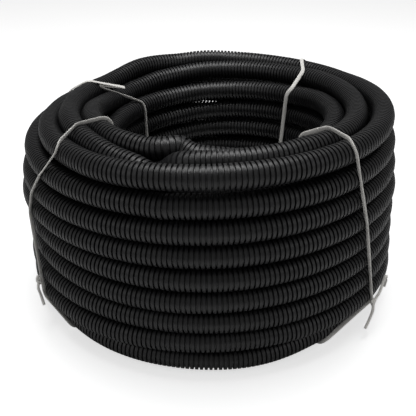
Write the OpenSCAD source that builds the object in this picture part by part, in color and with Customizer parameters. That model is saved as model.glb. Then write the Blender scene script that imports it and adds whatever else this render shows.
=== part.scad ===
// Corrugated conduit, one length wound up as a coil and held by four tied cords.
// Millimetres, +Z up. The origin is the middle of the coil at floor level, and
// the side that faces -Y is the front.

/* [Conduit] */
// Outside diameter over the ribs
conduit_od = 21.2; // [18:0.1:25]
// Clear bore inside the ribs
conduit_bore = 16.5; // [12:0.1:17.5]
// Wall thickness of the corrugated tube
wall = 0.5; // [0.3:0.05:0.8]
// Distance from one rib to the next
rib_pitch = 4.2; // [3.5:0.1:6]
// Width of a rib's flat top
rib_top = 2; // [1.4:0.1:2.4]
// Run of a rib's sloping side
rib_slope = 0.3; // [0.1:0.05:0.4]

/* [Coil] */
// Diameter of the eye, between the innermost turns
eye_d = 226; // [200:1:320]
// Rows of turns, one above the other
rows = 9; // [3:1:14]
// Layers of turns, one around the other
layers = 3; // [3:1:5]
// Space between two rows
turn_gap = 2.2; // [0.5:0.1:5]
// Space between two layers
layer_gap = 5.2; // [3:0.1:8]
// How far the lowest outside turn is drawn in under the one above it
bottom_inset = 8; // [0:0.5:10]
// How far the highest outside turn is drawn in under the ties
top_inset = 4; // [2:0.5:8]
// How far the outside turns between those two stand out
belly = 3; // [0:0.5:4]

/* [Loose end] */
// Where the end leaves the lowest outside turn, counted from +X
leave_angle = 100; // [96:1:104]
// Radius of the stretch that springs away from the coil
spring_r = 680; // [600:10:760]
// Length of the straight stretch, the open ribs included
straight_length = 46; // [44:1:60]
// Number of open ribs before the cut
open_ribs = 10; // [4:1:10]

/* [Ties] */
// Width of a tie, a soft cord pressed flat
tie_w = 4.4; // [3:0.1:8]
// Thickness of a tie
tie_t = 1.6; // [1:0.1:3]
// Room between a tie and the turns that it holds
tie_clearance = 0.3; // [0.2:0.05:0.5]
// Where the front left tie stands, counted from +X
front_left_angle = 215; // [205:1:235]
// Where the front right tie stands, counted from +X
front_right_angle = 322; // [305:1:335]
// Where the back left tie stands, counted from +X
back_left_angle = 137; // [130:1:150]
// Where the back right tie stands, counted from +X
back_right_angle = 44; // [30:1:48]
// Size of the knot in a front tie
knot_d = 9; // [7:0.5:12]
// Height of the knots above the floor
knot_height = 46; // [40:1:120]
// Length of the cord left over below a knot
tail_length = 22; // [10:1:30]

/* [Hidden] */
conduit_r = conduit_od / 2;
bore_r = conduit_bore / 2;
pitch = conduit_od + turn_gap;
first_r = eye_d / 2 + conduit_r;
outer_r = first_r + (layers - 1) * (conduit_od + layer_gap);
bottom_r = outer_r - bottom_inset;
base_z = tie_t + tie_clearance + conduit_r;
black = [0.07, 0.07, 0.075];
white = [0.9, 0.89, 0.86];
bend_step = 5;
inner_step = 3;
eps = 0.01;
$fn = 96;

function row_z(row) = base_z + row * pitch;
function layer_r(layer) = first_r + layer * (conduit_od + layer_gap);

// Turns as [radius, height, lean], where the lean is how much higher the turn
// lies on the +X side. The outside turns rise to +X, more so the higher they
// are, as far as their gaps let them. The inside ones drop by a row from -X to +X.
outside_turns = [
    for (row = [0 : rows - 1]) [
        row == 0 ? bottom_r : row == rows - 1 ? outer_r - top_inset : outer_r + belly,
        row_z(row),
        2 * turn_gap * row / (rows - 1)
    ]
];
top_turns = [for (layer = [1 : layers - 2]) [layer_r(layer), row_z(rows - 1), turn_gap]];
bottom_turns = [for (layer = [0 : layers - 2]) [layer_r(layer) + (layer == 0 ? inner_step : 0), row_z(0), 0]];
inside_turns = [for (row = [0 : rows - 2]) [first_r, row_z(row) + pitch / 2, -pitch / 2]];
turns = concat(outside_turns, top_turns, bottom_turns, inside_turns);

function turn_at(turn, angle) = [turn[0], turn[1] + turn[2] * cos(angle)];

// One rib of the tube as [radius, place along the tube], outside and inside
function rib_outside(place) = [
    [conduit_r, place],
    [conduit_r, place + rib_top],
    [bore_r + wall, place + rib_top + rib_slope],
    [bore_r + wall, place + rib_pitch - rib_slope]
];
function rib_inside(place) = [
    [bore_r, place],
    [conduit_r - wall, place + rib_slope],
    [conduit_r - wall, place + rib_top - rib_slope],
    [bore_r, place + rib_top]
];

// Section of the shut-in turns, which the turns in view lie on
module core_section() {
    polygon([
        [first_r + inner_step, row_z(0)],
        [bottom_r - inner_step, row_z(0)],
        [outer_r - inner_step, row_z(1)],
        [outer_r - inner_step, row_z(rows - 2)],
        [outer_r - top_inset - inner_step, row_z(rows - 1) - turn_gap * 2],
        [layer_r(1), row_z(rows - 1) - turn_gap * 2],
        [first_r + inner_step, row_z(rows - 2)]
    ]);
}

// Outline around the turns where a tie stands, as a taut cord lies
module taut_outline(angle, reach) {
    centres = [for (turn = turns) turn_at(turn, angle)];
    polygon([
        for (facing = [0 : bend_step : 359])
            let (
                toward = [cos(facing), sin(facing)],
                far = max([for (centre = centres) centre * toward]),
                held = [for (centre = centres) if (centre * toward > far - eps) centre][0]
            )
            held + reach * toward
    ]);
}

// One turn in view, leaning to +X
module turn_ring(turn) {
    translate([0, 0, turn[1]]) rotate([0, -atan(turn[2] / turn[0]), 0])
        rotate_extrude() translate([norm([turn[0], turn[2]]), 0]) circle(r = conduit_r);
}

// Corrugated tube along +Z from 0, open at its far end
module open_tube() {
    outside = [for (i = [0 : open_ribs - 1]) each rib_outside(i * rib_pitch)];
    inside = [for (i = [open_ribs - 1 : -1 : 0])
        let (rib = rib_inside(i * rib_pitch)) each [rib[3], rib[2], rib[1], rib[0]]];
    cut = open_ribs * rib_pitch;
    rotate_extrude() polygon(concat(outside, [[bore_r + wall, cut], [bore_r, cut]], inside));
}

// The end of the length: it springs away from the lowest turn, drops to the
// floor, runs straight along +X and shows its ribs and its bore
module loose_end() {
    plain_length = straight_length - open_ribs * rib_pitch;
    spring_arc = leave_angle - 90;
    rotate(leave_angle) translate([bottom_r - spring_r, 0, conduit_r]) rotate(-spring_arc) {
        rotate_extrude(angle = spring_arc) translate([spring_r, 0]) circle(r = conduit_r);
        translate([spring_r, eps, 0]) rotate([90, 0, 0]) {
            cylinder(r = conduit_r, h = plain_length + eps);
            translate([0, 0, plain_length + eps]) open_tube();
        }
    }
}

module conduit() {
    color(black) union() {
        rotate_extrude() core_section();
        for (turn = turns) turn_ring(turn);
        loose_end();
    }
}

// A cord tied around the turns, with its knot on the outside
module tie(angle) {
    reach = conduit_r + tie_clearance;
    face = outer_r + belly + reach + tie_t;
    color(white) rotate(angle) {
        rotate([90, 0, 0]) linear_extrude(tie_w, center = true) difference() {
            taut_outline(angle, reach + tie_t);
            taut_outline(angle, reach);
        }
        translate([face + knot_d / 2 - tie_t / 2, 0, knot_height]) {
            sphere(d = knot_d);
            for (side = [-1, 1]) rotate([side * 12, 0, 0])
                translate([0, 0, -tail_length]) cylinder(d = tie_t * 1.5, h = tail_length);
        }
    }
}

module tie_front_left() tie(front_left_angle);
module tie_front_right() tie(front_right_angle);
module tie_back_left() tie(back_left_angle);
module tie_back_right() tie(back_right_angle);

conduit();
tie_front_left();
tie_front_right();
tie_back_left();
tie_back_right();
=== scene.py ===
import math
import bpy
import numpy as np
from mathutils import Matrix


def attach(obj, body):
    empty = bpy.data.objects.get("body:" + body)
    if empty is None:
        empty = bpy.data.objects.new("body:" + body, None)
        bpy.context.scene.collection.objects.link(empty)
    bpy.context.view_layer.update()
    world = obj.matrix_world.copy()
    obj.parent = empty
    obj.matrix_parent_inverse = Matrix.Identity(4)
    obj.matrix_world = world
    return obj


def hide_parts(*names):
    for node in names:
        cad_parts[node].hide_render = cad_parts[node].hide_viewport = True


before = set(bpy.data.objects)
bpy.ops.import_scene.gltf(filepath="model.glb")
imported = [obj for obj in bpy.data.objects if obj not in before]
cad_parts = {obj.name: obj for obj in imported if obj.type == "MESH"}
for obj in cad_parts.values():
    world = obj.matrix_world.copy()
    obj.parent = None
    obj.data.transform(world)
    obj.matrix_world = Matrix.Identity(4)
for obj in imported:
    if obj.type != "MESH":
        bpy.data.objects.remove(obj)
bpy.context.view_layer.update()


def deselectAll():
    if bpy.context.object and bpy.context.object.mode != "OBJECT":
        bpy.ops.object.mode_set(mode="OBJECT")
    bpy.ops.object.select_all(action="DESELECT")


def pickOnly(piece):
    deselectAll()
    piece.select_set(True)
    bpy.context.view_layer.objects.active = piece


def selectVerts(piece, wanted):  # picks points by their place, in edit mode
    bpy.ops.mesh.select_mode(type="VERT")
    bpy.ops.mesh.select_all(action="DESELECT")
    bpy.ops.object.mode_set(mode="OBJECT")
    for v in piece.data.vertices:
        v.select = wanted(v.co)
    bpy.ops.object.mode_set(mode="EDIT")


def applyAll(piece):
    pickOnly(piece)
    for modifier in list(piece.modifiers):
        bpy.ops.object.modifier_apply(modifier=modifier.name)


def eased(keys, at):  # a smooth value between (place, value) keys, without overshoot
    if at <= keys[0][0]:
        return keys[0][1]
    if at >= keys[-1][0]:
        return keys[-1][1]
    i = max(n for n in range(len(keys) - 1) if keys[n][0] <= at)
    slopes = [(keys[n + 1][1] - keys[n][1]) / (keys[n + 1][0] - keys[n][0])
              for n in range(max(i - 1, 0), min(i + 2, len(keys) - 1))]
    here = slopes[min(i, 1)]
    before = slopes[0] if i > 0 else here
    after = slopes[-1] if i < len(keys) - 2 else here
    m0 = 2 * before * here / (before + here) if before * here > 0 else 0
    m1 = 2 * here * after / (here + after) if here * after > 0 else 0
    h = keys[i + 1][0] - keys[i][0]
    t = (at - keys[i][0]) / h
    return ((2 * t ** 3 - 3 * t ** 2 + 1) * keys[i][1] + (t ** 3 - 2 * t ** 2 + t) * h * m0
            + (3 * t ** 2 - 2 * t ** 3) * keys[i + 1][1] + (t ** 3 - t ** 2) * h * m1)


viewFrom = {"sideways": 0, "away": 0.5894, "height": 0.4003, "tilt": 28.77, "lens": 52.18}

cameraData = bpy.data.cameras.new("camera")
cameraData.lens = viewFrom["lens"]
cameraData.sensor_width = 36
cameraData.clip_start = 0.01
camera = bpy.data.objects.new("camera", cameraData)
camera.location = (viewFrom["sideways"], -viewFrom["away"], viewFrom["height"])
camera.rotation_euler = (math.radians(90 - viewFrom["tilt"]), 0, 0)
bpy.context.scene.collection.objects.link(camera)
bpy.context.scene.camera = camera

studio = {
    "floorSize": 12, "floorColour": (0.82, 0.82, 0.82, 1), "floorGlow": 0.62,
    "worldLight": 0.22,
    "lamps": {  # place, size in metres, watts
        "lamp_top": ((0.0, 0.15, 1.5), (1.0, 0.8), 15.0),
        "lamp_left": ((-1.3, -0.9, 0.9), (0.9, 0.9), 2.2),
        "lamp_right": ((1.3, -0.9, 0.9), (0.9, 0.9), 2.2),
    },
}


def makeFloor():
    deselectAll()
    bpy.ops.mesh.primitive_plane_add(size=studio["floorSize"])
    floor = bpy.context.object
    floor.name = "floor"
    paper = bpy.data.materials.new("whitePaper")
    paper.use_nodes = True
    nodes, links = paper.node_tree.nodes, paper.node_tree.links
    surface = nodes["Principled BSDF"]
    surface.inputs["Base Color"].default_value = studio["floorColour"]
    surface.inputs["Roughness"].default_value = 0.9
    surface.inputs["Specular IOR Level"].default_value = 0.1
    surface.inputs["Emission Color"].default_value = (1, 1, 1, 1)
    rays = nodes.new("ShaderNodeLightPath")
    glow = nodes.new("ShaderNodeMath")
    glow.operation = "MULTIPLY"
    glow.inputs[1].default_value = studio["floorGlow"]
    links.new(rays.outputs["Is Camera Ray"], glow.inputs[0])
    links.new(glow.outputs[0], surface.inputs["Emission Strength"])
    floor.data.materials.append(paper)


def makeWorld():
    world = bpy.data.worlds.new("studio")
    bpy.context.scene.world = world
    world.use_nodes = True
    nodes, links = world.node_tree.nodes, world.node_tree.links
    rays = nodes.new("ShaderNodeLightPath")
    level = nodes.new("ShaderNodeMapRange")
    level.inputs["To Min"].default_value = studio["worldLight"]
    level.inputs["To Max"].default_value = 1.0
    links.new(rays.outputs["Is Camera Ray"], level.inputs["Value"])
    links.new(level.outputs["Result"], nodes["Background"].inputs["Strength"])
    nodes["Background"].inputs["Color"].default_value = (1, 1, 1, 1)


def makeLamps():
    for name, (place, size, watts) in studio["lamps"].items():
        data = bpy.data.lights.new(name, "AREA")
        data.shape = "RECTANGLE"
        data.size, data.size_y = size
        data.energy = watts
        lamp = bpy.data.objects.new(name, data)
        lamp.location = place
        aim = np.array([0, 0, 0.12]) - np.array(place)
        lamp.rotation_euler = (math.acos(-aim[2] / np.linalg.norm(aim)), 0,
                               math.atan2(aim[1], aim[0]) - math.pi / 2)
        bpy.context.scene.collection.objects.link(lamp)


bpy.context.scene.view_settings.view_transform = "Standard"
makeFloor()
makeWorld()
makeLamps()
print("studio ready")


def newMaterial(name, colour, roughness, specular):
    material = bpy.data.materials.new(name)
    material.use_nodes = True
    surface = material.node_tree.nodes["Principled BSDF"]
    surface.inputs["Base Color"].default_value = colour
    surface.inputs["Roughness"].default_value = roughness
    surface.inputs["Specular IOR Level"].default_value = specular
    return material, material.node_tree.nodes, material.node_tree.links, surface


def noiseRange(nodes, links, place, scale, detail, low, high):  # noise, and its spread values
    noise = nodes.new("ShaderNodeTexNoise")
    noise.inputs["Scale"].default_value = scale
    noise.inputs["Detail"].default_value = detail
    spread = nodes.new("ShaderNodeMapRange")
    spread.inputs["From Min"].default_value = 0.3
    spread.inputs["From Max"].default_value = 0.7
    spread.inputs["To Min"].default_value = low
    spread.inputs["To Max"].default_value = high
    links.new(place, noise.inputs["Vector"])
    links.new(noise.outputs["Fac"], spread.inputs["Value"])
    return noise, spread


def makeBlackPlastic():
    look = {
        "dark": (0.005, 0.005, 0.0056, 1), "pale": (0.010, 0.010, 0.011, 1), "cloudScale": 24,
        "satin": 0.36, "dull": 0.52, "scuffScale": 260,
        "grainScale": 900, "grainStrength": 0.12, "grainDepth": 0.0003,
    }
    material, nodes, links, surface = newMaterial("blackPlastic", look["dark"], 0.45, 0.5)
    where = nodes.new("ShaderNodeTexCoord").outputs["Object"]
    mixBy = noiseRange(nodes, links, where, look["cloudScale"], 3, 0, 1)[1]  # faint clouding
    tint = nodes.new("ShaderNodeMix")
    tint.data_type = "RGBA"
    tint.inputs["A"].default_value = look["dark"]
    tint.inputs["B"].default_value = look["pale"]
    links.new(mixBy.outputs["Result"], tint.inputs["Factor"])
    links.new(tint.outputs["Result"], surface.inputs["Base Color"])
    gloss = noiseRange(nodes, links, where, look["scuffScale"], 4, look["satin"], look["dull"])[1]
    links.new(gloss.outputs["Result"], surface.inputs["Roughness"])
    grain = nodes.new("ShaderNodeTexNoise")
    grain.inputs["Scale"].default_value = look["grainScale"]
    links.new(where, grain.inputs["Vector"])
    bump = nodes.new("ShaderNodeBump")
    bump.inputs["Strength"].default_value = look["grainStrength"]
    bump.inputs["Distance"].default_value = look["grainDepth"]
    links.new(grain.outputs["Fac"], bump.inputs["Height"])
    links.new(bump.outputs["Normal"], surface.inputs["Normal"])
    return material


def makeWhiteCord():
    look = {
        "shade": (0.74, 0.72, 0.68, 1), "fibre": (0.88, 0.87, 0.84, 1), "across": 9, "along": 0.7,
        "fibreScale": 3, "fibreStrength": 0.5, "fibreDepth": 0.0006,
    }
    material, nodes, links, surface = newMaterial("whiteCord", look["fibre"], 0.5, 0.4)
    laid = nodes.new("ShaderNodeUVMap")
    laid.uv_map = "cordMap"
    stretch = nodes.new("ShaderNodeMapping")
    stretch.inputs["Scale"].default_value = (look["across"], look["along"], 1)
    links.new(laid.outputs["UV"], stretch.inputs["Vector"])
    fibres, shade = noiseRange(nodes, links, stretch.outputs["Vector"], look["fibreScale"], 5, 0, 1)
    tint = nodes.new("ShaderNodeMix")
    tint.data_type = "RGBA"
    tint.inputs["A"].default_value = look["shade"]
    tint.inputs["B"].default_value = look["fibre"]
    links.new(shade.outputs["Result"], tint.inputs["Factor"])
    links.new(tint.outputs["Result"], surface.inputs["Base Color"])
    bump = nodes.new("ShaderNodeBump")
    bump.inputs["Strength"].default_value = look["fibreStrength"]
    bump.inputs["Distance"].default_value = look["fibreDepth"]
    links.new(fibres.outputs["Fac"], bump.inputs["Height"])
    links.new(bump.outputs["Normal"], surface.inputs["Normal"])
    return material


blackPlastic = makeBlackPlastic()
whiteCord = makeWhiteCord()


# One length of conduit, wound up row by row and layer by layer.
conduitSize = {
    "radius": 0.0106, "valley": 0.00875, "wall": 0.0005,
    "ribPitch": 0.0042, "sides": 22, "smoothUnder": 35,
    "ribTop": 0.6, "ribSlope": 0.07,  # shares of the pitch
    "plainLength": 0.0105, "plainSides": 14,
}
od = 2 * conduitSize["radius"]

winding = {
    "rows": 9, "rowPitch": 0.0234, "floorRow": 0.0125, "step": 2,
    "outer": 8.32, "middle": 7.2,  # radii of the layers, in conduit widths
    "leaveAt": -170,  # where the loose end leaves the lowest turn, counted from the front
    "drawnIn": 0.38, "innerTop": 0.94, "innerStep": 1.13, "wander": 0.03, "spread": 24,
    "seed": 11, "shutInFrom": 6760,
    "packed": 0.12, "sunk": 0.96,  # how close the shut-in rows lie, in conduit widths
    "closest": 1.0, "settling": 60, "held": 0.15,  # how freely the outside turns give way
}


# Turns are counted in degrees from the front, to the right. Rows are counted down from the top.
# The left and right sides bulge and the rows lean, each by its row.
sideLeft = [(0, -0.85), (1, -0.2), (2, 0.16), (3, 0.28), (4, 0.15), (6, 0.22), (7, 0.25), (8, 0)]
sideRight = [(0, -0.17), (1, 0.0), (2, 0.18), (3, 0.3), (5, 0.45), (7, 0.6), (8, 0.3)]
leanLeft = [(0, -0.3), (2, -0.3), (4, -0.1), (6, -0.08), (7, 0), (8, 0)]
leanRight = [(0, 0.12), (1, 0.02), (4, 0.06), (6, 0.15), (7, 0.2), (8, 0.04)]
leanBack = [(0, -0.18), (1, -0.2), (4, -0.05), (8, 0)]

# In the eye: how far each turn has dropped by its place, and its radius on the left, by its turn.
eyeSlope = [(89, 0.42), (134, 0), (151, -0.14), (179, -0.38), (208, -0.64), (230, -0.7), (300, -0.7)]
eyeLeft = [(0, 4.87), (3, 5.3), (6, 5.6)]


def sideBulge(row, angle):
    across = math.sin(math.radians(angle))
    return eased(sideRight if across > 0 else sideLeft, row) * abs(across) ** 2.5


def windingKeys():  # (degrees, radius, height under the top row), in conduit widths
    rowStep = winding["rowPitch"] / od
    lastRow = winding["rows"] - 1
    keys = []
    for turn in range(winding["rows"]):  # the outside layer, from the floor up
        row = lastRow - turn
        for angle in range(-105, 166, 15):
            if row == 0 and angle < -30:
                continue  # the last rise has its own keys below
            lean = eased([(-45, eased(leanLeft, row)), (45, eased(leanRight, row)),
                          (75, eased(leanRight, row)), (120, eased(leanBack, row))], angle)
            drawnIn = winding["drawnIn"] if row == lastRow else 0
            radius = winding["outer"] + sideBulge(row, angle) - drawnIn
            keys.append((turn * 360 + angle, radius, lean - row * rowStep))
    keys.append((winding["leaveAt"], winding["outer"] - winding["drawnIn"], -lastRow * rowStep))
    top = lastRow * 360
    keys += [(top + turned, radius, height) for turned, radius, height in (  # in view on the top
        (-139, 8.0, -1.35), (-118, 7.65, -0.93), (-105, 7.46, -0.7), (-90, 7.42, -0.58),  # the last rise
        (-75, 7.45, -0.42), (-60, 7.6, -0.33), (-45, 7.85, -0.28),
        (180, 8.2, -0.11), (190, 8.1, -0.18), (200, 7.95, -0.3), (210, 7.75, -0.4),  # in to the middle
        (221, 7.45, -0.53), (230, 7.15, -0.57), (242, 6.8, -0.42), (256, 6.5, -0.2), (278, 6.52, -0.15),
        (290, 6.8, -0.12), (320, 7.15, -0.12), (335, 7.22, -0.3), (345, 7.3, -0.65), (356, 7.32, -1.05),
        (370, 7.2, -1.2), (450, 7.0, -1.15), (540, 7.05, -1.62), (587, 7.0, -1.75),  # shut in, and up
        (622, 6.65, -1.35), (650, 6.5, -1.15), (690, 6.5, -1.1), (700, 6.52, -0.85), (709, 6.6, -0.42),
        (717, 6.78, -0.1), (727, 6.95, 0.0), (750, 7.1, 0.07), (812, 6.92, 0.06), (840, 6.97, -0.03),
        (862, 7.03, -0.25), (900, 7.1, -0.42), (911, 7.05, -0.56), (924, 6.86, -0.78), (934, 6.63, -0.93),
        (947, 6.31, -0.98), (958, 6.01, -0.9), (979, 5.65, -0.68), (995, 5.52, -0.36), (1006, 5.66, -0.2),
        (1040, 6.0, -0.06), (1060, 6.0, -0.12), (1080, 5.85, -0.35), (1100, 5.95, -0.55),  # down the eye
        (1130, 6.0, -0.55), (1168, 6.05, -0.47), (1184, 6.04, -0.54))]
    for turn in range(lastRow):  # down the inside layer, most of it across the back
        here = top + 1080 + turn * 360
        left = eased(eyeLeft, turn)
        for angle, radius in ((89, 6.05), (134, 6.0), (151, 5.95), (179, 5.9), (208, 5.66),
                              (230, (5.66 + left) / 2), (262, left), (300, (left + 6) / 2), (350, 5.98)):
            if turn or angle > 100:
                fall = winding["innerTop"] + winding["innerStep"] * turn - eased(eyeSlope, angle)
                keys.append((here + angle, radius, -min(fall, lastRow * rowStep)))
    under = top + 1080 + lastRow * 360
    for turn in range(lastRow - 2):  # and up the middle again
        height = (turn - lastRow) * rowStep + winding["packed"] * (lastRow - turn) - winding["sunk"]
        for angle in (50, 200, 350):
            keys.append((under + turn * 360 + angle, winding["middle"], height))
    return sorted(keys)


def windingStations():  # a place every few degrees, as radius and height
    keys = windingKeys()
    radii = [(key[0], key[1]) for key in keys]
    heights = [(key[0], key[2]) for key in keys]
    topHeight = winding["floorRow"] + (winding["rows"] - 1) * winding["rowPitch"]
    angles = np.arange(winding["leaveAt"], keys[-1][0] + 1, winding["step"])
    places = np.array([(eased(radii, a) * od, topHeight + eased(heights, a) * od) for a in angles])
    return angles, places


def letWander(places):  # the small unevenness of a hand-wound coil
    random = np.random.default_rng(winding["seed"])
    spread = winding["spread"]
    rough = random.normal(size=(len(places) + 4 * spread, 2))
    kernel = np.hanning(2 * spread + 1)
    kernel /= np.sqrt((kernel ** 2).sum())
    smooth = [np.convolve(rough[:, side], kernel, "same") for side in (0, 1)]
    return places + np.stack(smooth, 1)[2 * spread:2 * spread + len(places)] * winding["wander"] * od


def pushApart(angles, places):  # no turn lies in another, and none under the floor row
    places = places.copy()
    gives = np.where(angles < (winding["rows"] - 1) * 360 + 165, winding["held"], 1.0)
    perTurn = 360 // winding["step"]
    turns = len(places) // perTurn
    closest = od * winding["closest"]
    for _ in range(winding["settling"]):
        push = np.zeros_like(places)
        for apart in range(1, turns + 1):
            far, near = places[apart * perTurn:], places[:len(places) - apart * perTurn]
            between = far - near
            distance = np.maximum(np.linalg.norm(between, axis=1), 1e-6)
            move = between * (np.clip(closest - distance, 0, None) / distance / 2)[:, None]
            farGives, nearGives = gives[apart * perTurn:], gives[:len(places) - apart * perTurn]
            both = farGives + nearGives
            push[apart * perTurn:] += move * (2 * farGives / both)[:, None]
            push[:len(places) - apart * perTurn] -= move * (2 * nearGives / both)[:, None]
        push[1:-1] = (push[:-2] + 2 * push[1:-1] + push[2:]) / 4
        places += push
        places[:, 1] = np.maximum(places[:, 1], winding["floorRow"])
    return places


def inSpace(angle, radius, height):  # degrees from the front, to the right
    around = np.radians(np.asarray(angle) - 90)
    return np.stack([radius * np.cos(around), radius * np.sin(around), height], -1)


stationAngles, stationPlaces = windingStations()
stationPlaces = pushApart(stationAngles, letWander(stationPlaces))
stationPoints = inSpace(stationAngles, stationPlaces[:, 0], stationPlaces[:, 1])
print("winding:", round(float(np.linalg.norm(np.diff(stationPoints, axis=0), axis=1).sum()), 2), "m")


def windingPart(fromAngle, toAngle):
    return stationPoints[(stationAngles >= fromAngle - 0.1) & (stationAngles <= toAngle + 0.1)]


def makeRib():
    size = conduitSize
    pitch = size["ribPitch"]
    deselectAll()
    bpy.ops.mesh.primitive_cylinder_add(vertices=size["sides"], radius=size["radius"], depth=pitch,
                                        end_fill_type="NOTHING", location=(0, 0, pitch / 2))
    rib = bpy.context.object
    rib.name = "rib"
    bpy.ops.object.transform_apply(location=True)
    rise = 1 - size["ribTop"] - size["ribSlope"]
    bpy.ops.object.mode_set(mode="EDIT")
    for share in (rise - size["ribSlope"], rise, 1 - size["ribSlope"]):
        bpy.ops.mesh.select_all(action="SELECT")
        bpy.ops.mesh.bisect(plane_co=(0, 0, share * pitch), plane_no=(0, 0, 1))
    foot = (rise - size["ribSlope"] / 2) * pitch
    selectVerts(rib, lambda co: co.z < foot or co.z > pitch * 0.999)
    narrow = size["valley"] / size["radius"]
    bpy.ops.transform.resize(value=(narrow, narrow, 1))
    deselectAll()
    rib.data.materials.append(blackPlastic)
    return rib


def makePlainUnit():  # a smooth stretch for the turns that are shut in on all sides
    deselectAll()
    depth = conduitSize["plainLength"]
    bpy.ops.mesh.primitive_cylinder_add(vertices=conduitSize["plainSides"],
                                        radius=conduitSize["radius"], depth=depth,
                                        end_fill_type="NOTHING", location=(0, 0, depth / 2))
    unit = bpy.context.object
    unit.name = "plainUnit"
    bpy.ops.object.transform_apply(location=True)
    unit.data.materials.append(blackPlastic)
    return unit


def pathCurve(name, points, tilts=None, widths=None):
    curve = bpy.data.curves.new(name, "CURVE")
    curve.dimensions = "3D"
    curve.twist_mode = "Z_UP" if tilts is None else "MINIMUM"
    spline = curve.splines.new("POLY")
    spline.points.add(len(points) - 1)
    for i, place in enumerate(points):
        spline.points[i].co = (*place, 1)
        spline.points[i].tilt = 0 if tilts is None else tilts[i]
        spline.points[i].radius = 1 if widths is None else widths[i]
    path = bpy.data.objects.new(name, curve)
    bpy.context.scene.collection.objects.link(path)
    return path


def layAlong(name, unit, unitLength, points, tilts=None, widths=None):
    length = float(np.linalg.norm(np.diff(points, axis=0), axis=1).sum())
    count = max(1, round(length / unitLength))
    piece = unit.copy()
    piece.data = unit.data.copy()
    piece.name = name
    piece.data.name = name
    bpy.context.scene.collection.objects.link(piece)
    pickOnly(piece)
    piece.scale.z = length / count / unitLength
    bpy.ops.object.transform_apply(scale=True)
    path = pathCurve(name + "_path", points, tilts, widths)
    repeat = piece.modifiers.new("repeat", "ARRAY")
    repeat.count = count
    repeat.use_relative_offset = False
    repeat.use_constant_offset = True
    repeat.constant_offset_displace = (0, 0, length / count)
    repeat.use_merge_vertices = True
    repeat.merge_threshold = 1e-5
    repeat.offset_v = 0.35
    bend = piece.modifiers.new("bend", "CURVE")
    bend.object = path
    bend.deform_axis = "POS_Z"
    applyAll(piece)
    bpy.data.objects.remove(path, do_unlink=True)
    return piece


def closeEnds(piece):
    pickOnly(piece)
    bpy.ops.object.mode_set(mode="EDIT")
    bpy.ops.mesh.select_all(action="SELECT")
    bpy.ops.mesh.fill_holes(sides=0)
    bpy.ops.mesh.normals_make_consistent(inside=False)
    bpy.ops.object.mode_set(mode="OBJECT")


def finishConduit(piece):
    pickOnly(piece)
    bpy.ops.object.shade_smooth_by_angle(angle=math.radians(conduitSize["smoothUnder"]))
    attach(piece, "root")
    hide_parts("conduit")


stretches = {  # where each stretch of the winding starts and ends, in degrees
    "conduit_outer_low": (winding["leaveAt"], 990),
    "conduit_outer_mid": (990, 2070),
    "conduit_outer_high": (2070, 3150),
    "conduit_top": (3150, 4230),
    "conduit_inner_high": (4230, 5670),
    "conduit_inner_low": (5670, winding["shutInFrom"]),
}
rib = makeRib()
for stretchName, (fromAngle, toAngle) in stretches.items():
    stretch = layAlong(stretchName, rib, conduitSize["ribPitch"], windingPart(fromAngle, toAngle))
    closeEnds(stretch)
    finishConduit(stretch)
    print(stretchName, len(stretch.data.polygons), "faces")

plainUnit = makePlainUnit()
shutInPath = windingPart(winding["shutInFrom"], stationAngles[-1])
shutIn = layAlong("conduit_middle", plainUnit, conduitSize["plainLength"], shutInPath)
closeEnds(shutIn)
finishConduit(shutIn)
bpy.data.objects.remove(plainUnit, do_unlink=True)


looseEnd = {
    "leaveAt": 100, "radius": 0.1684, "springRadius": 0.68, "straight": 0.046, "height": 0.0106,
    "springPoints": 41, "straightPoints": 12, "fadePoints": 30,
}


def loosePath():  # from the lowest turn, along the floor, to the cut
    size = looseEnd
    spring = size["springRadius"]
    swing = size["leaveAt"] - 90
    out = math.radians(size["leaveAt"])
    middle = np.array([math.cos(out), math.sin(out)]) * (size["radius"] - spring)
    points = []
    for share in np.linspace(0, 1, size["springPoints"]):
        at = math.radians(size["leaveAt"] - swing * share)
        points.append([*(middle + spring * np.array([math.cos(at), math.sin(at)])), size["height"]])
    last = points[-1]
    points += [[last[0] + size["straight"] * share, last[1], last[2]]
               for share in np.linspace(0, 1, size["straightPoints"])[1:]]
    points = np.array(points)
    fade = np.clip(1 - np.arange(len(points)) / size["fadePoints"], 0, 1)[:, None]
    fade = fade ** 2 * (3 - 2 * fade)
    return points + (stationPoints[0] - points[0]) * fade


conduitEnd = layAlong("conduit_end", rib, conduitSize["ribPitch"], loosePath())
shell = conduitEnd.modifiers.new("wall", "SOLIDIFY")
shell.thickness = conduitSize["wall"]
shell.offset = -1
applyAll(conduitEnd)
finishConduit(conduitEnd)
bpy.data.objects.remove(rib, do_unlink=True)
print("conduit ready")


# Soft flat cords, drawn round the turns and knotted outside.
tieCord = {"width": 0.0044, "thickness": 0.0016, "unit": 0.0025, "sides": 12, "room": 0.0003,
           "roundWidth": 0.0029, "roundFlat": 0.8, "smoothUnder": 60,
           "pointGap": 0.002, "tailGap": 0.0012, "twist": 0.12, "twistRate": 0.21,
           "facingStep": 3, "section": (7.1, 4.4),  # middle of the section, in conduit widths
           "knotSize": 0.00115, "knotOut": 0.0036, "knotWide": 1.15, "knotDeep": 1.2,
           "knotPoints": 61}
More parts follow.
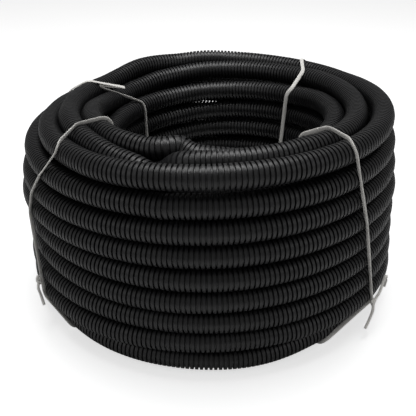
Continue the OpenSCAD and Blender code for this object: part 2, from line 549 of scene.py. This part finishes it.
# Degrees from the front, by the place round the section:
# 0 outside, 90 on top, 180 in the eye, -90 below. Tails are in millimetres from the knot.
ties = {
    "tie_front_left": {"knot": 0.049, "around": [
        (-180, -55), (-100, -52), (-70, -50), (-62, -57), (-51, -65), (-33, -64), (7, -62), (46, -58),
        (62, -52), (70, -45), (81, -48), (89, -52), (96, -51), (120, -53), (180, -55)],
        "tails": [[(0, 0, 0), (4, 6, 2), (7, 11, 1.5)],
                  [(0, 0, 0), (1, -7, 2), (5, -14, 1), (12, -21, 1)]]},
    "tie_front_right": {"knot": 0.034, "around": [
        (-180, 52), (-100, 44), (-75, 38), (-68, 46), (-60, 56), (-51, 53), (-33, 50), (46, 46.5),
        (62, 43), (73, 40), (82, 43), (98, 44), (120, 47), (180, 52)],
        "tails": [[(0, 0, 0), (8, 7, 2.2), (16, 14, 1.6), (23, 20, 1.4), (26, 15, 1.8), (22, 6, 1.8)],
                  [(0, 0, 0), (-3, -8, 2), (-9, -16, 1.5), (-16, -22, 1)]]},
    "tie_back_left": {"knot": 0.046, "around": [
        (-180, -136), (-100, -134), (-33, -130), (0, -128), (46, -122), (75, -113), (90, -112), (96, -113),
        (105, -120), (115, -131), (122, -135), (180, -136)],
        "tails": [[(0, 0, 0), (4, -8, 1.6), (6, -19, 0.8)], [(0, 0, 0), (-4, -8, 1.6), (-5, -17, 0.8)]]},
    "tie_back_right": {"knot": 0.046, "around": [
        (-180, 134), (-100, 136), (-60, 138), (0, 140), (75, 140), (89, 134), (98, 128), (106, 125),
        (113, 129), (150, 133), (180, 134)],
        "tails": [[(0, 0, 0), (5, -7, 1.6), (6, -18, 0.8)], [(0, 0, 0), (-3, -9, 1.6), (-6, -20, 0.8)]]},
}


def makeCordUnit(width, thickness):
    deselectAll()
    depth = tieCord["unit"]
    bpy.ops.mesh.primitive_cylinder_add(vertices=tieCord["sides"], radius=0.5, depth=depth,
                                        end_fill_type="NOTHING", location=(0, 0, depth / 2))
    unit = bpy.context.object
    unit.name = "cordUnit"
    bpy.ops.object.transform_apply(location=True)
    unit.data.uv_layers[0].name = "cordMap"
    bpy.ops.object.mode_set(mode="EDIT")
    bpy.ops.mesh.select_all(action="SELECT")
    bpy.ops.transform.resize(value=(width, thickness, 1))
    selectVerts(unit, lambda co: abs(co.x) < width * 0.1)
    bpy.ops.transform.resize(value=(1, 0.72, 1))  # a shallow crease down both faces
    deselectAll()
    unit.data.materials.append(whiteCord)
    return unit


def turnsAt(angle):  # radius and height of every turn at one place round the coil
    first = math.ceil((stationAngles[0] - angle) / 360)
    last = math.floor((stationAngles[-1] - angle) / 360)
    at = angle + 360 * np.arange(first, last + 1)
    return np.stack([np.interp(at, stationAngles, stationPlaces[:, side]) for side in (0, 1)], 1)


def evenly(points, gap):
    points = np.asarray(points)
    along = np.concatenate([[0], np.cumsum(np.linalg.norm(np.diff(points, axis=0), axis=1))])
    count = max(2, int(along[-1] / gap) + 1)
    at = np.linspace(0, along[-1], count)
    return np.stack([np.interp(at, along, points[:, side]) for side in range(points.shape[1])], 1)


def tieOutline(tie):  # a taut line round the turns, as (degrees, radius, height)
    reach = conduitSize["radius"] + tieCord["room"] + tieCord["thickness"] / 2
    across, up = tieCord["section"]
    middle = np.array([across * od, winding["floorRow"] + up * od])
    angle = tie["around"][0][1]
    line = []
    for facing in range(-180, 181, tieCord["facingStep"]):
        toward = np.array([math.cos(math.radians(facing)), math.sin(math.radians(facing))])
        for _ in range(3):  # the place sets the angle, and the angle moves the place
            turns = turnsAt(angle)
            held = turns[np.argmax(turns @ toward)]
            out = held + reach * toward - middle
            around = math.degrees(math.atan2(out[1], out[0]))
            if facing < -150 and around > 0 or facing > 150 and around < 0:
                around = facing
            angle = eased(tie["around"], around)
        line.append((angle, *(held + reach * toward)))
    return np.array(line)


def smoothed(points, times):
    points = points.copy()
    for _ in range(times):
        points[1:-1] = (points[:-2] + 2 * points[1:-1] + points[2:]) / 4
    return points


def knotPath(centre, across, out):  # a pulled-tight overhand knot
    size = tieCord["knotSize"]
    up = np.array([0, 0, 1.0])
    points = []
    for turned in np.linspace(0, 2 * math.pi, tieCord["knotPoints"]):
        side = math.sin(turned) + 2 * math.sin(2 * turned)
        rise = math.cos(turned) - 2 * math.cos(2 * turned)
        deep = math.sin(3 * turned) * tieCord["knotDeep"]
        points.append(centre + size * (across * side * tieCord["knotWide"] + up * rise - out * deep))
    return np.array(points)


def makeTie(name, tie):
    outline = tieOutline(tie)
    points = inSpace(outline[:, 0], outline[:, 1], outline[:, 2])
    points = smoothed(evenly(points, tieCord["pointGap"]), 3)
    points[-1] = points[0]
    twist = [tieCord["twist"] * math.sin(at * tieCord["twistRate"]) for at in range(len(points))]
    cordName = name + "_cord"
    parts = [layAlong(cordName, flatUnit, tieCord["unit"], points, tilts=twist)]
    # the knot goes on the outer face, at its height
    near = [abs(p[2] - tie["knot"]) + 0.1 * (0.2 - math.hypot(p[0], p[1])) for p in points]
    onFace = points[int(np.argmin(near))]
    out = np.array([onFace[0], onFace[1], 0]) / math.hypot(onFace[0], onFace[1])
    across = np.array([-out[1], out[0], 0])
    centre = onFace + out * tieCord["knotOut"]
    paths = [knotPath(centre, across, out)]
    for tail in tie["tails"]:
        tail = np.array([centre + (across * side + np.array([0, 0, rise]) + out * proud) / 1000
                         for side, rise, proud in tail])
        tail[:, 2] = np.maximum(tail[:, 2], tieCord["roundWidth"])  # none of it under the floor
        paths.append(smoothed(evenly(tail, tieCord["tailGap"]), 4))
    for path in paths:
        parts.append(layAlong(cordName + "_part", roundUnit, tieCord["unit"], path))
    for part in parts:
        closeEnds(part)
    pickOnly(parts[0])
    for part in parts[1:]:
        part.select_set(True)
    bpy.ops.object.join()
    piece = parts[0]
    for point in piece.data.vertices:
        point.co.z = max(point.co.z, 0)  # pressed flat between the coil and the floor
    pickOnly(piece)
    bpy.ops.object.shade_smooth_by_angle(angle=math.radians(tieCord["smoothUnder"]))
    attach(piece, "root")
    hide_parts(name)


flatUnit = makeCordUnit(tieCord["width"], tieCord["thickness"])
roundUnit = makeCordUnit(tieCord["roundWidth"], tieCord["roundWidth"] * tieCord["roundFlat"])
for tieName, tie in ties.items():
    makeTie(tieName, tie)
    print(tieName, "ready")
for unit in (flatUnit, roundUnit):
    bpy.data.objects.remove(unit, do_unlink=True)
